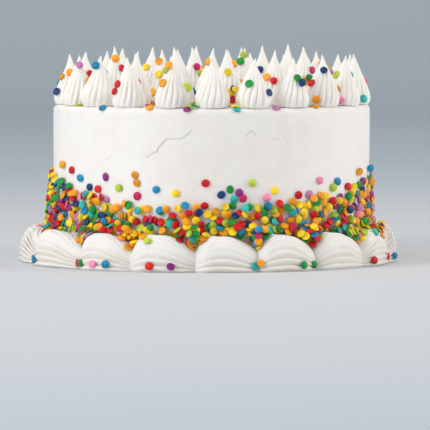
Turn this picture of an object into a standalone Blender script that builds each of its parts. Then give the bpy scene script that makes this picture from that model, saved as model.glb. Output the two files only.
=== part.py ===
"""A round cake in smooth white icing, with pointed piped peaks all over its top and a border of piped
shells round its foot. Round flat sprinkles are pressed into its lower side, scattered over the top and
stuck here and there to the piping.

Metres, +Z up. The origin is the centre of the foot, on the surface that the cake stands on. The front
faces -Y. An uncut cake shows nothing of its inside, so the iced cake is one solid. Each peak and each
shell is a solid of its own."""

import math
import random

import bmesh
import bpy
from mathutils import Matrix, Vector

GAP = 0.0003
SEED = 7

# The iced cake: a straight side, a softly rounded rim, and a swell where the sprinkles pile up
CAKE_RADIUS = 0.108
CAKE_HEIGHT = 0.107
CAKE_SIDES = 40
RIM_ROUNDING = 0.0035
RIM_STEPS = 2
SWELL_FOOT = 0.0250
SWELL_DEPTH = 0.0032
SWELL_TOP = 0.048

# A piped peak. Its profile is pairs of a share of its height and a share of its widest radius
RIM_PEAK_HEIGHT = 0.0337
INNER_PEAK_HEIGHT = 0.0382
PEAK_RADIUS = 0.0116
PEAK_PROFILE = ((0.0, 0.87), (0.2, 1.0), (0.42, 0.78), (0.65, 0.45), (0.85, 0.16), (1.0, 0.02))
PEAK_VALLEY = 0.85
PEAK_TWIST = math.radians(26)
PEAK_LEAN = 0.0016
PEAK_UNEVEN = 0.055
PEAK_STRAY_TURN = 0.005
PEAK_STRAY = 0.0006
RIM_RIDGES = 8
INNER_RIDGES = 6
# How far round the rim its peaks stand, in degrees from the front: those in sight, then even steps behind
RIM_TURNS = (-82.0, -67.0, -50.5, -33.7, -15.6, 0.6, 16.4, 33.5, 49.7, 65.6, 82.0)
RIM_TURNS_BEHIND = tuple(82 + 16.33 * number for number in range(1, 12))
# Rings of peaks from the rim inwards: name, radius of the ring, height and ridges of a peak, and how far
# round the peaks stand
PEAK_RINGS = (
    ("rim_peak", 0.0972, RIM_PEAK_HEIGHT, RIM_RIDGES, RIM_TURNS + RIM_TURNS_BEHIND),
    ("second_peak", 0.0665, INNER_PEAK_HEIGHT, INNER_RIDGES, tuple(9 + 30 * number for number in range(12))),
    ("third_peak", 0.0345, INNER_PEAK_HEIGHT, INNER_RIDGES, tuple(21 + 60 * number for number in range(6))),
    ("middle_peak", 0.0, INNER_PEAK_HEIGHT, INNER_RIDGES, (0,)),
)

# A piped shell. Its stations are a share of its length, of its height and of its depth
# How far round each starts, in degrees from the front: those in sight, then even steps behind
SHELL_STARTS = (-69.6, -44.6, -25.6, -5.2, 14.3, 33.6, 54.6, 75.0)
SHELL_STARTS_BEHIND = tuple(75 + 19.58 * number for number in range(1, 11))
SHELL_HEIGHT = 0.0240
SHELL_DEPTH = 0.0228
SHELL_STATIONS = (
    (0.00, 0.58, 0.70),
    (0.11, 0.86, 0.90),
    (0.42, 1.00, 1.00),
    (0.78, 0.84, 0.92),
    (1.00, 0.62, 0.76),
)
SHELL_RIDGES = 5
SHELL_RIDGED_TURN = math.radians(128)
SHELL_RIDGE_HEIGHT = 0.0014
SHELL_ROUNDNESS = 2.5
SHELL_UNEVEN = 0.03
SHELL_OFF = 0.10

# A sprinkle: a flat round disc. Those on the side lie in a band that thins out upwards
SPRINKLE_RADIUS = 0.0028
SPRINKLE_THICKNESS = 0.0012
SPRINKLE_SIDES = 8
SPRINKLE_TIP = 0.25
BAND_FOOT = 0.0295
BAND_TOP = 0.055
BAND_SIDE_RISE = 0.009
BAND_THINNING = 1.7
SIDE_SPRINKLES = 114
SIDE_SPACING = 2.5 * SPRINKLE_RADIUS
TOP_SPRINKLES = 24
TOP_SPACING = 7 * SPRINKLE_RADIUS
SPREAD_TRIES = 4000
GOLDEN_TURN = math.pi * (3 - math.sqrt(5))


def clear_scene():
    for obj in list(bpy.data.objects):
        bpy.data.objects.remove(obj, do_unlink=True)


def matte(name, colour, roughness):
    """A Principled BSDF of one colour."""
    material = bpy.data.materials.new(name)
    material.use_nodes = True
    shader = material.node_tree.nodes["Principled BSDF"]
    shader.inputs["Base Color"].default_value = (*colour, 1.0)
    shader.inputs["Roughness"].default_value = roughness
    shader.inputs["Metallic"].default_value = 0.0
    return material


def add_object(name, bm, material):
    """The object that holds bm as its mesh, shaded smooth but for its creases."""
    bmesh.ops.recalc_face_normals(bm, faces=bm.faces)
    mesh = bpy.data.meshes.new(name)
    bm.to_mesh(mesh)
    bm.free()
    mesh.materials.append(material)
    mesh.shade_smooth()
    mesh.set_sharp_from_angle(angle=math.radians(50))
    obj = bpy.data.objects.new(name, mesh)
    bpy.context.scene.collection.objects.link(obj)
    return obj


def around(angle, radius, height):
    """A point at an angle from the front, -Y, turning towards +X."""
    return Vector((radius * math.sin(angle), -radius * math.cos(angle), height))


def fuse(obj, others):
    """Joins the others to obj by one Boolean union, and removes them."""
    group = bpy.data.collections.new(obj.name + "_sprinkles")
    bpy.context.scene.collection.children.link(group)
    for other in others:
        bpy.context.scene.collection.objects.unlink(other)
        group.objects.link(other)
    modifier = obj.modifiers.new("fuse", "BOOLEAN")
    modifier.operation = "UNION"
    modifier.operand_type = "COLLECTION"
    modifier.collection = group
    modifier.solver = "EXACT"
    bpy.context.view_layer.objects.active = obj
    bpy.ops.object.modifier_apply(modifier=modifier.name)
    for other in others:
        bpy.data.objects.remove(other, do_unlink=True)
    bpy.data.collections.remove(group)


def rim_points():
    """The rounded rim, from the top of the straight side to the edge of the flat top."""
    points = []
    for step in range(RIM_STEPS + 1):
        turn = math.pi / 2 * step / RIM_STEPS
        radius = CAKE_RADIUS - RIM_ROUNDING * (1 - math.cos(turn))
        points.append((radius, CAKE_HEIGHT - RIM_ROUNDING * (1 - math.sin(turn))))
    return points


def cake_profile():
    """Radius and height from the foot to the flat top."""
    swell = [(CAKE_RADIUS, SWELL_FOOT), (CAKE_RADIUS + SWELL_DEPTH, SWELL_FOOT + SWELL_DEPTH / 4)]
    return [(CAKE_RADIUS, 0.0), *swell, (CAKE_RADIUS, SWELL_TOP), *rim_points()]


def side_radius(angle, height):
    """How far from the axis the faceted side is."""
    profile = cake_profile()
    for (r0, z0), (r1, z1) in zip(profile, profile[1:]):
        if z0 <= height <= z1:
            radius = r0 + (r1 - r0) * (height - z0) / (z1 - z0)
            break
    half = math.pi / CAKE_SIDES
    return radius * math.cos(half) / math.cos((angle % (2 * half)) - half)


def iced_cake(material):
    bm = bmesh.new()
    verts = [bm.verts.new(around(0, radius, height)) for radius, height in cake_profile()]
    edges = [bm.edges.new(pair) for pair in zip(verts, verts[1:])]
    bmesh.ops.spin(
        bm, geom=verts + edges, cent=(0, 0, 0), axis=(0, 0, 1), angle=2 * math.pi, steps=CAKE_SIDES
    )
    bmesh.ops.remove_doubles(bm, verts=bm.verts, dist=1e-6)
    bmesh.ops.holes_fill(bm, edges=[edge for edge in bm.edges if edge.is_boundary])
    return add_object("frosted_cake", bm, material)


def peak_places():
    """Each peak's name, the centre of its foot, its ridges, height, widest radius, lean of the tip and twist.
    The draws are always the same."""
    draw = random.Random(SEED)
    places = []
    for name, ring, height, ridges, turns in PEAK_RINGS:
        for number, turn in enumerate(turns):
            angle = math.radians(turn) + draw.uniform(-1, 1) * PEAK_STRAY_TURN
            centre = around(angle, ring + draw.uniform(-1, 1) * PEAK_STRAY, CAKE_HEIGHT + GAP)
            uneven = [draw.uniform(-1, 1) for _ in range(5)]
            places.append((f"{name}_{number + 1:02}", centre, ridges, peak_size(height, uneven)))
    return places


def peak_size(height, uneven):
    """Height, widest radius, lean of the tip and twist of one peak."""
    radius = PEAK_RADIUS * (1 + PEAK_UNEVEN / 2 * uneven[1])
    lean = Vector((uneven[2], uneven[3], 0)) * PEAK_LEAN
    return height * (1 + PEAK_UNEVEN * uneven[0]), radius, lean, PEAK_TWIST * (1 + 0.4 * uneven[4])


def loft(bm, rings):
    """Faces between rings of as many points each, with the first and the last closed."""
    loops = [[bm.verts.new(point) for point in ring] for ring in rings]
    for loop, after in zip(loops, loops[1:]):
        for number, vert in enumerate(loop):
            nearby = (number + 1) % len(loop)
            bm.faces.new((vert, loop[nearby], after[nearby], after[number]))
    bm.faces.new(loops[0])
    return bm.faces.new(loops[-1])


def star(middle, radius, ridges, turn):
    """The outline of a star nozzle's icing at one height: a ridge, a valley, a ridge ..."""
    points = []
    for number in range(2 * ridges):
        angle = turn + math.pi * number / ridges
        points.append(middle + around(angle, radius * (PEAK_VALLEY if number % 2 else 1.0), 0.0))
    return points


def piped_peak(name, centre, ridges, size, material):
    """A star of icing, drawn up and turned ring by ring to a fine tip."""
    height, radius, lean, twist = size
    rings = []
    for share, wide in PEAK_PROFILE:
        middle = centre + lean * share * share + Vector((0, 0, height * share))
        rings.append(star(middle, radius * wide, ridges, twist * share))
    bm = bmesh.new()
    cap = loft(bm, rings)
    bmesh.ops.pointmerge(bm, verts=list(cap.verts), merge_co=centre + lean + Vector((0, 0, height)))
    return add_object(name, bm, material)


def shell_places():
    """Where each shell starts, how far it runs along the border and how large it is, always the same."""
    draw = random.Random(SEED + 3)
    starts = [math.radians(turn) for turn in SHELL_STARTS + SHELL_STARTS_BEHIND]
    ends = starts[1:] + [starts[0] + 2 * math.pi]
    sizes = [1 + SHELL_UNEVEN * draw.uniform(-1, 0.6) for _ in starts]
    return [(start, end - start - GAP / CAKE_RADIUS, size) for start, end, size in zip(starts, ends, sizes)]


def shell_point(place, station, turn, ridge=0.0):
    """A point of a shell's surface. turn runs from its outer foot, 0, over the top to its inner foot, pi."""
    start, length, size = place
    along, tall, deep = station
    out = math.copysign(abs(math.cos(turn)) ** (2 / SHELL_ROUNDNESS), math.cos(turn))
    up = max(math.sin(turn), 0.0) ** (2 / SHELL_ROUNDNESS)
    off = 1 - SHELL_OFF * math.sin(start + length / 2)
    depth = (SHELL_DEPTH * size * off - SHELL_RIDGE_HEIGHT + ridge) * deep
    height = (SHELL_HEIGHT * size - SHELL_RIDGE_HEIGHT + ridge) * tall
    return around(start + along * length, CAKE_RADIUS + GAP + depth * (1 + out) / 2, height * up)


def piped_shell(name, place, material):
    """One shell, lofted through its stations, with a ridge at every second point but for its plain back."""
    steps = 2 * SHELL_RIDGES
    turns = [SHELL_RIDGED_TURN * step / steps for step in range(steps + 1)] + [math.pi]
    rings = []
    for station in SHELL_STATIONS:
        ridges = [SHELL_RIDGE_HEIGHT * (number % 2) for number in range(steps + 1)] + [0.0]
        rings.append([shell_point(place, station, turn, ridge) for turn, ridge in zip(turns, ridges)])
    bm = bmesh.new()
    loft(bm, rings)
    return add_object(name, bm, material)


def sprinkle(place, normal, tilt, spin, material):
    """A flat disc whose face looks along normal, tipped by tilt about an axis that spin turns."""
    bm = bmesh.new()
    bmesh.ops.create_cone(
        bm,
        cap_ends=True,
        segments=SPRINKLE_SIDES,
        radius1=SPRINKLE_RADIUS,
        radius2=SPRINKLE_RADIUS,
        depth=SPRINKLE_THICKNESS,
    )
    facing = normal.to_track_quat("Z", "Y").to_matrix().to_4x4()
    tipped = Matrix.Rotation(spin, 4, "Z") @ Matrix.Rotation(tilt, 4, "X")
    bmesh.ops.transform(bm, matrix=Matrix.Translation(place) @ facing @ tipped, verts=bm.verts)
    return add_object("sprinkle", bm, material)


def band_top(angle):
    """The sprinkles reach higher at the left and the right than in front and behind."""
    return BAND_TOP + BAND_SIDE_RISE * math.sin(angle) ** 4


def side_sprinkles(material):
    """Discs round the lower side, spread by the golden turn, thinning out upwards."""
    draw = random.Random(SEED + 1)
    places, discs = [], []
    for number in range(SPREAD_TRIES):
        angle = number * GOLDEN_TURN % (2 * math.pi)
        height = BAND_FOOT + (band_top(angle) - BAND_FOOT) * draw.random() ** BAND_THINNING
        place = around(angle, side_radius(angle, height), height)
        if all((place - other).length > SIDE_SPACING for other in places):
            places.append(place)
            tilt = draw.uniform(-1, 1) * SPRINKLE_TIP
            discs.append(sprinkle(place, around(angle, 1, 0), tilt, draw.uniform(0, math.pi), material))
        if len(places) == SIDE_SPRINKLES:
            break
    return discs


def top_sprinkles(peaks, material):
    """Discs on the flat top, clear of each peak's foot and widest ring."""
    draw = random.Random(SEED + 2)
    places, discs = [], []
    reach = CAKE_RADIUS - RIM_ROUNDING - SPRINKLE_RADIUS
    for _ in range(SPREAD_TRIES):
        radius = reach * math.sqrt(draw.random())
        place = around(draw.uniform(0, 2 * math.pi), radius, CAKE_HEIGHT)
        room = min((place - centre).length for _, centre, _, _ in peaks) - PEAK_RADIUS - SPRINKLE_RADIUS
        if room > 5 * GAP and all((place - other).length > TOP_SPACING for other in places):
            places.append(place)
            tilt = draw.uniform(-0.3, 0.3) * SPRINKLE_TIP
            discs.append(sprinkle(place, Vector((0, 0, 1)), tilt, draw.uniform(0, math.pi), material))
        if len(places) == TOP_SPRINKLES:
            break
    return discs


def peak_sprinkle(centre, size, number, material):
    """A disc that sits on the slope of an inner peak, nearly half way up, between ridge and valley."""
    height, radius, lean, _ = size
    share, wide = PEAK_PROFILE[2]
    out = around(number * GOLDEN_TURN, radius * wide * (1 + PEAK_VALLEY) / 2, height * share)
    slope = Vector((out.x, out.y, radius * wide / 2))
    return sprinkle(centre + lean * share * share + out, slope, 0.0, number, material)


def shell_sprinkle(place, number, material):
    """A disc that lies on the outer slope of a shell."""
    station = SHELL_STATIONS[2 + number // 2 % 2]
    turn = math.radians(48 + 8 * (number % 5))
    angle = place[0] + station[0] * place[1]
    normal = around(angle, math.cos(turn), math.sin(turn))
    return sprinkle(shell_point(place, station, turn), normal, 0.0, number, material)


def build():
    clear_scene()
    icing = matte("icing", (0.92, 0.91, 0.88), 0.55)
    candy = matte("sprinkles", (0.85, 0.30, 0.12), 0.45)
    peaks = peak_places()

    cake = iced_cake(icing)
    fuse(cake, side_sprinkles(candy) + top_sprinkles(peaks, candy))

    for number, (name, centre, ridges, size) in enumerate(peaks):
        peak = piped_peak(name, centre, ridges, size, icing)
        if ridges == INNER_RIDGES and number % 2:
            fuse(peak, [peak_sprinkle(centre, size, number, candy)])

    for number, place in enumerate(shell_places()):
        shell = piped_shell(f"foot_shell_{number + 1:02}", place, icing)
        if number % 2:
            fuse(shell, [shell_sprinkle(place, number, candy)])


build()
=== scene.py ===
# %% [markdown]
# # A round cake in white icing
#
# The cake is a plain drum of white icing. Pointed peaks are piped all over its top, a border of piped
# shells runs round its foot, and round flat sprinkles cling to its lower side and lie between the peaks.
# A fixed frame of simple solids says how large each piece is and where it stands. Every piece below is
# modelled afresh, with all its ridges, in the place that the frame gives it.

# %% The frame and the tools
import math
import random

import bmesh
import bpy
import numpy as np
from mathutils import Matrix, Vector, noise
from mathutils.bvhtree import BVHTree


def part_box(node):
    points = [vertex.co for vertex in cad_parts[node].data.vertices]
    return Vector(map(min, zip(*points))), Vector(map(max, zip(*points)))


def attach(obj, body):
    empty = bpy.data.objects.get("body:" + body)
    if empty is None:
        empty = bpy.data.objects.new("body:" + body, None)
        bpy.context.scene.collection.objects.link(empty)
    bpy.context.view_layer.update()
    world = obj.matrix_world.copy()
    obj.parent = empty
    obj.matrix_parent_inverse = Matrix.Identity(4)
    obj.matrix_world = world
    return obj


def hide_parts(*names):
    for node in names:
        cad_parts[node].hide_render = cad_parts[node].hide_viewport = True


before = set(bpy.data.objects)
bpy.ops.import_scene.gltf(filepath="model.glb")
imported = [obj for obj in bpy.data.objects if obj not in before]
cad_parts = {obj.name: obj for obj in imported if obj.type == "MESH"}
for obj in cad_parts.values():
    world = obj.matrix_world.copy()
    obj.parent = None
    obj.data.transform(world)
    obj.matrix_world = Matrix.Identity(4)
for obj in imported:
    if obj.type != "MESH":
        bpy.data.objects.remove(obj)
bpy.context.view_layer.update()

TINY = 1e-5
SEED = 11
noise.seed_set(SEED)  # without a seed Blender's noise starts from the clock, and no two runs are alike


def add_object(name, data):
    """A new object with its data, put into the scene."""
    obj = bpy.data.objects.new(name, data)
    bpy.context.scene.collection.objects.link(obj)
    return obj


# %% [markdown]
# ## The camera
#
# The photo was taken from far away through a long lens: the foot of the cake shows as a flat ellipse and
# its top edge as an even flatter one. The two ellipses give the height of the camera and its distance.
# A long lens keeps the sides of the drum upright, as they are in the picture.

# %% The camera
PHOTO_SIDE = 430
METRES_PER_PIXEL = 0.216 / 315
CAMERA_DISTANCE = 2.74
CAMERA_HEIGHT = 0.187
AIM = Vector((0.0024, 0.0, 0.0307))
SENSOR_MM = 36.0

camera_data = bpy.data.cameras.new("camera")
camera = add_object("camera", camera_data)
camera.location = (AIM.x, -CAMERA_DISTANCE, CAMERA_HEIGHT)
camera.rotation_euler = (AIM - camera.location).to_track_quat("-Z", "Y").to_euler()
camera_data.sensor_width = SENSOR_MM
camera_data.lens = SENSOR_MM * (AIM - camera.location).length / (PHOTO_SIDE * METRES_PER_PIXEL)
bpy.context.scene.camera = camera
print("lens", round(camera_data.lens), "mm")

# %% [markdown]
# ## Measuring the frame
#
# The drum's radius and height are read from its node. Its foot is the widest ring at z = 0, and its top is
# where the peaks stand. Points of a node repeat, because each of its triangles is loose, so they are merged
# before anything is averaged.

# %% Measuring the frame


def node_points(name):
    """The different points of a node, one row each."""
    points = np.array([vert.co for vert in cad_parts[name].data.vertices])
    return np.unique(points.round(6), axis=0)


coat_points = node_points("frosted_cake")
foot_ring = coat_points[coat_points[:, 2] < TINY]
CAKE_RADIUS = float(np.hypot(foot_ring[:, 0], foot_ring[:, 1]).max())
PEAKS = sorted(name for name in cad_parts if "peak" in name)
SHELLS = sorted(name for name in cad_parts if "shell" in name)
GAP = 0.0003
CAKE_TOP = min(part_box(name)[0].z for name in PEAKS) - GAP
print("drum", round(CAKE_RADIUS * 2000, 1), "mm across and", round(CAKE_TOP * 1000, 1), "mm tall,",
      len(PEAKS), "peaks,", len(SHELLS), "shells")

# %% [markdown]
# ## Helpers for modelling
#
# Blender's operators act on whatever is selected. So each new piece starts with nothing selected, and
# inside edit mode points are picked in code by where they are. Icing is never quite even: a smooth noise
# moves the points of every piece of icing a little, so that no two copies of a pattern are the same.

# %% Helpers for modelling


def start_fresh():
    """Nothing is selected before a primitive is added."""
    bpy.ops.object.select_all(action="DESELECT")


def open_in_edit_mode(name):
    """Names the new primitive, moves its origin to the world's and opens it in edit mode."""
    obj = bpy.context.object
    obj.name = name
    bpy.ops.object.transform_apply(location=True, rotation=True, scale=True)
    bpy.ops.object.mode_set(mode="EDIT")
    return obj


def pick(obj, test):
    """In edit mode, selects the points that pass the test, and what lies between them."""
    bpy.ops.mesh.select_all(action="DESELECT")
    mesh = bmesh.from_edit_mesh(obj.data)
    for vert in mesh.verts:
        if test(vert):
            vert.select = True
    mesh.select_flush(True)
    bmesh.update_edit_mesh(obj.data)


def extrude(*move):
    """In edit mode, extrudes what is selected by a move."""
    bpy.ops.mesh.extrude_region_move(TRANSFORM_OT_translate={"value": move})


def around(angle, radius, height):
    """A point at an angle from the front, -Y, turning towards +X."""
    return Vector((radius * math.sin(angle), -radius * math.cos(angle), height))


def smooth(stations, share):
    """Reads a smooth curve through pairs of a share and a value."""
    shares, values = np.array(stations).T
    slopes = np.gradient(values, shares)
    k = int(np.clip(np.searchsorted(shares, share) - 1, 0, len(shares) - 2))
    step = shares[k + 1] - shares[k]
    t = (share - shares[k]) / step
    start = (1 + 2 * t) * (1 - t) ** 2 * values[k] + t * (1 - t) ** 2 * step * slopes[k]
    return float(start + t * t * (3 - 2 * t) * values[k + 1] + t * t * (t - 1) * step * slopes[k + 1])


def read_points(mesh):
    flat = np.empty(len(mesh.vertices) * 3)
    mesh.vertices.foreach_get("co", flat)
    return flat.reshape(-1, 3)


def write_points(mesh, points):
    mesh.vertices.foreach_set("co", np.asarray(points, float).ravel())
    mesh.update()


def is_closed(mesh):
    """True if every edge has two faces."""
    counts = np.zeros(len(mesh.edges), int)
    loops = np.empty(len(mesh.loops), int)
    mesh.loops.foreach_get("edge_index", loops)
    np.add.at(counts, loops, 1)
    return bool((counts == 2).all())


def face_outwards(obj):
    start_fresh()
    obj.select_set(True)
    bpy.context.view_layer.objects.active = obj
    bpy.ops.object.mode_set(mode="EDIT")
    bpy.ops.mesh.select_all(action="SELECT")
    bpy.ops.mesh.normals_make_consistent(inside=False)
    bpy.ops.object.mode_set(mode="OBJECT")


def round_off(obj):
    """One applied level of Subdivision Surface, on faces that all point outwards."""
    face_outwards(obj)
    modifier = obj.modifiers.new("round", "SUBSURF")
    modifier.levels = modifier.render_levels = 1
    bpy.ops.object.modifier_apply(modifier=modifier.name)


def uneven(points, size, depth, shift=0.0):
    """Moves points by a smooth noise, whose bumps are that size, by up to about that depth."""
    moved = [Vector(point) / size + Vector((shift, shift, shift)) for point in points]
    return points + depth * np.array([noise.noise_vector(place) for place in moved])


# %% [markdown]
# ## What icing is made of
#
# Buttercream is fat and sugar: it is white with a little warmth, soft in its shine, and light goes a
# millimetre or two into it. Close up it has tiny pits and grains. The coat and the piping share one node
# group for that grain, with their own sizes. The group only puts out a tone and a height. Each material
# keeps its own Principled shader, whose subsurface values are plain numbers.

# %% The grain of icing


def new_group(name, inputs, outputs):
    """An empty node group with named number inputs and outputs."""
    group = bpy.data.node_groups.new(name, "ShaderNodeTree")
    for label, value in inputs:
        socket = group.interface.new_socket(label, in_out="INPUT", socket_type="NodeSocketFloat")
        socket.default_value = value
    for label in outputs:
        group.interface.new_socket(label, in_out="OUTPUT", socket_type="NodeSocketFloat")
    return group, group.nodes.new("NodeGroupInput"), group.nodes.new("NodeGroupOutput")


def set_inputs(node, inputs):
    """Sets a node's inputs, by name or by number, to values or to sockets to link from."""
    for key, value in inputs.items():
        if isinstance(value, bpy.types.NodeSocket):
            node.id_data.links.new(value, node.inputs[key])
        else:
            node.inputs[key].default_value = value


def add_node(tree, kind, inputs=None, **settings):
    """A node with its settings and its inputs."""
    node = tree.nodes.new(kind)
    for name, value in settings.items():
        setattr(node, name, value)
    set_inputs(node, inputs or {})
    return node


def object_place(tree):
    """Where a point lies: every piece has its origin in the middle of the cake's foot."""
    return add_node(tree, "ShaderNodeTexCoord").outputs["Object"]


def noise_texture(tree, place, scale, detail):
    """The outputs of a noise texture."""
    return add_node(tree, "ShaderNodeTexNoise", {"Vector": place, "Scale": scale, "Detail": detail}).outputs


def map_range(tree, value, low, high, start=0.0, end=1.0, **settings):
    """Carries a value from the range start to end over to the range low to high."""
    inputs = {"Value": value, "From Min": start, "From Max": end, "To Min": low, "To Max": high}
    return add_node(tree, "ShaderNodeMapRange", inputs, **settings).outputs["Result"]


def brighten(tree, colour, value):
    """A colour, lighter where the value is above 1 and darker where it is below."""
    return add_node(tree, "ShaderNodeHueSaturation", {"Color": colour, "Value": value}).outputs["Color"]


def mix_colours(tree, share, first, second):
    """Two colours mixed by the share of the second."""
    inputs = {"Factor": share, "A": first, "B": second}
    return add_node(tree, "ShaderNodeMix", inputs, data_type="RGBA").outputs["Result"]


def relief_normal(tree, height, depth):
    """Which way the surface faces where a height is drawn on it as relief of that depth."""
    return add_node(tree, "ShaderNodeBump", {"Height": height, "Distance": depth}).outputs["Normal"]


def new_material(name):
    """A new material, its node tree and its shader."""
    material = bpy.data.materials.new(name)
    material.use_nodes = True
    return material, material.node_tree, material.node_tree.nodes["Principled BSDF"]


icing_grain, grain_in, grain_out = new_group(
    "Icing grain", (("Coarse Scale", 90.0), ("Fine Scale", 900.0), ("Fine Share", 0.3)), ("Tone", "Height")
)
spot = object_place(icing_grain)
coarse = noise_texture(icing_grain, spot, grain_in.outputs["Coarse Scale"], 3.0)["Fac"]
fine = noise_texture(icing_grain, spot, grain_in.outputs["Fine Scale"], 2.0)["Fac"]
shares = {"Factor": grain_in.outputs["Fine Share"], "A": coarse, "B": fine}
both = add_node(icing_grain, "ShaderNodeMix", shares).outputs["Result"]
set_inputs(grain_out, {"Tone": coarse, "Height": both})
print("group:", icing_grain.name, [socket.name for socket in icing_grain.interface.items_tree])

# %% [markdown]
# Piping comes straight from the nozzle, so beside its grain it has only its ridges. Between them the light
# is thrown from icing to icing and turns warm, so a warm, darker shade is painted into the crevices, which
# come out creamier than the crests. The border round the foot has painted shade too: its tone is darkened
# towards the floor, as if less light reached it.

# %% The icing materials
COAT_LIGHT, COAT_DEEP = (0.93, 0.905, 0.875, 1.0), (0.90, 0.865, 0.825, 1.0)
PIPED_LIGHT, PIPED_DEEP = (0.94, 0.925, 0.885, 1.0), (0.92, 0.895, 0.845, 1.0)
# Painted shade for the ridges' valleys: a warm, darker cream mixed in where a point lies deep between ridges
PAINTED_CREVICE_SHADE = (0.85, 0.75, 0.60, 1.0)
# Painted shade at the foot: the piping is darkened to this share at the floor, fading out by this height
FOOT_SHADE_SHARE, FOOT_SHADE_UP_TO = 0.89, 0.05
COAT_GRAIN, COAT_RELIEF = (70.0, 700.0), 0.0006
PIPED_GRAIN, PIPED_RELIEF = (160.0, 1100.0), 0.0004
DEEP_AT, LIGHT_AT = 0.3, 0.55
ICING_ROUGHNESS = (0.42, 0.62)
ICING_BODY = {
    "Subsurface Weight": 0.25,
    "Subsurface Radius": (1.0, 0.85, 0.65),
    "Subsurface Scale": 0.002,
    "Specular IOR Level": 0.4,
}


def icing_material(name, light, deep, grain_sizes):
    """White icing with its grain. Gives the material, its height socket and its colour socket."""
    material, tree, shader = new_material(name)
    sizes = dict(zip(("Coarse Scale", "Fine Scale"), grain_sizes))
    grain = add_node(tree, "ShaderNodeGroup", sizes, node_tree=icing_grain)
    colour = add_node(tree, "ShaderNodeValToRGB", {"Fac": grain.outputs["Tone"]})
    for element, position, tone in zip(colour.color_ramp.elements, (DEEP_AT, LIGHT_AT), (deep, light)):
        element.position, element.color = position, tone
    rough = map_range(tree, grain.outputs["Height"], *ICING_ROUGHNESS)
    set_inputs(shader, {"Roughness": rough, **ICING_BODY})
    return material, grain.outputs["Height"], colour.outputs["Color"]


def finish_icing(material, colour, height, depth):
    """Feeds the colour and the relief to the material's shader."""
    tree = material.node_tree
    normal = relief_normal(tree, height, depth)
    set_inputs(tree.nodes["Principled BSDF"], {"Base Color": colour, "Normal": normal})


# %% Piped icing
# Each piped piece carries an attribute that says how deep in a ridge's valley a point lies, and so how much
# warm shade is painted on it
PIPED_ICING, piped_height, piped_colour = icing_material("piped_icing", PIPED_LIGHT, PIPED_DEEP, PIPED_GRAIN)
tree = PIPED_ICING.node_tree
crevice_shade = add_node(tree, "ShaderNodeAttribute", attribute_name="crevice_shade").outputs["Fac"]
crevice_shaded = mix_colours(tree, crevice_shade, piped_colour, PAINTED_CREVICE_SHADE)
# Painted shade: the piping is darkened towards the floor, as if less light reached its foot
height = add_node(tree, "ShaderNodeSeparateXYZ", {0: object_place(tree)}).outputs["Z"]
foot_shaded = brighten(tree, crevice_shaded, map_range(tree, height, FOOT_SHADE_SHARE, 1.0, end=FOOT_SHADE_UP_TO))
finish_icing(PIPED_ICING, foot_shaded, piped_height, PIPED_RELIEF)

# %% [markdown]
# The coat has marks of its own. The spatula is held upright while the cake turns, and leaves faint upright
# streaks where it pauses. Where the icing had begun to dry, it has torn into one hairline crack, which
# climbs to the right, and a few little curls. A second node group draws such a hairline between two points.

# %% A hairline
WANDER_SCALE = 240.0
hairline, line_in, line_out = new_group(
    "Hairline",
    (("Start X", 0.0), ("Start Z", 0.0), ("End X", 0.0), ("End Z", 0.0), ("Width", 0.0004), ("Stray", 0.001)),
    ("Mask",),
)


def maths(tree, operation, *values, clamp=False):
    inputs = dict(enumerate(values))
    return add_node(tree, "ShaderNodeMath", inputs, operation=operation, use_clamp=clamp).outputs["Value"]


def vector_maths(tree, operation, *values):
    node = add_node(tree, "ShaderNodeVectorMath", operation=operation)
    in_use = [key for key, socket in enumerate(node.inputs) if socket.enabled]
    set_inputs(node, dict(zip(in_use, values)))
    return node.outputs["Value" if operation in ("DOT_PRODUCT", "LENGTH") else "Vector"]


spot = object_place(hairline)
wander = noise_texture(hairline, spot, WANDER_SCALE, 3.0)["Color"]
centred = vector_maths(hairline, "SUBTRACT", wander, (0.5, 0.5, 0.5))
strayed = vector_maths(hairline, "SCALE", centred, line_in.outputs["Stray"])
flat = vector_maths(hairline, "MULTIPLY", vector_maths(hairline, "ADD", spot, strayed), (1.0, 0.0, 1.0))
first, last = (
    add_node(hairline, "ShaderNodeCombineXYZ", {axis: line_in.outputs[f"{end} {axis}"] for axis in "XZ"})
    for end in ("Start", "End")
)
run = vector_maths(hairline, "SUBTRACT", last.outputs["Vector"], first.outputs["Vector"])
away = vector_maths(hairline, "SUBTRACT", flat, first.outputs["Vector"])
along, length = (vector_maths(hairline, "DOT_PRODUCT", vector, run) for vector in (away, run))
share = maths(hairline, "DIVIDE", along, length, clamp=True)
beside = vector_maths(hairline, "SUBTRACT", away, vector_maths(hairline, "SCALE", run, share))
off = vector_maths(hairline, "LENGTH", beside)
near = maths(hairline, "SUBTRACT", 1.0, maths(hairline, "DIVIDE", off, line_in.outputs["Width"]), clamp=True)
back = add_node(hairline, "ShaderNodeSeparateXYZ", {0: spot}).outputs["Y"]
front = maths(hairline, "LESS_THAN", back, 0.0)
set_inputs(line_out, {"Mask": maths(hairline, "MULTIPLY", near, front)})

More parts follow.
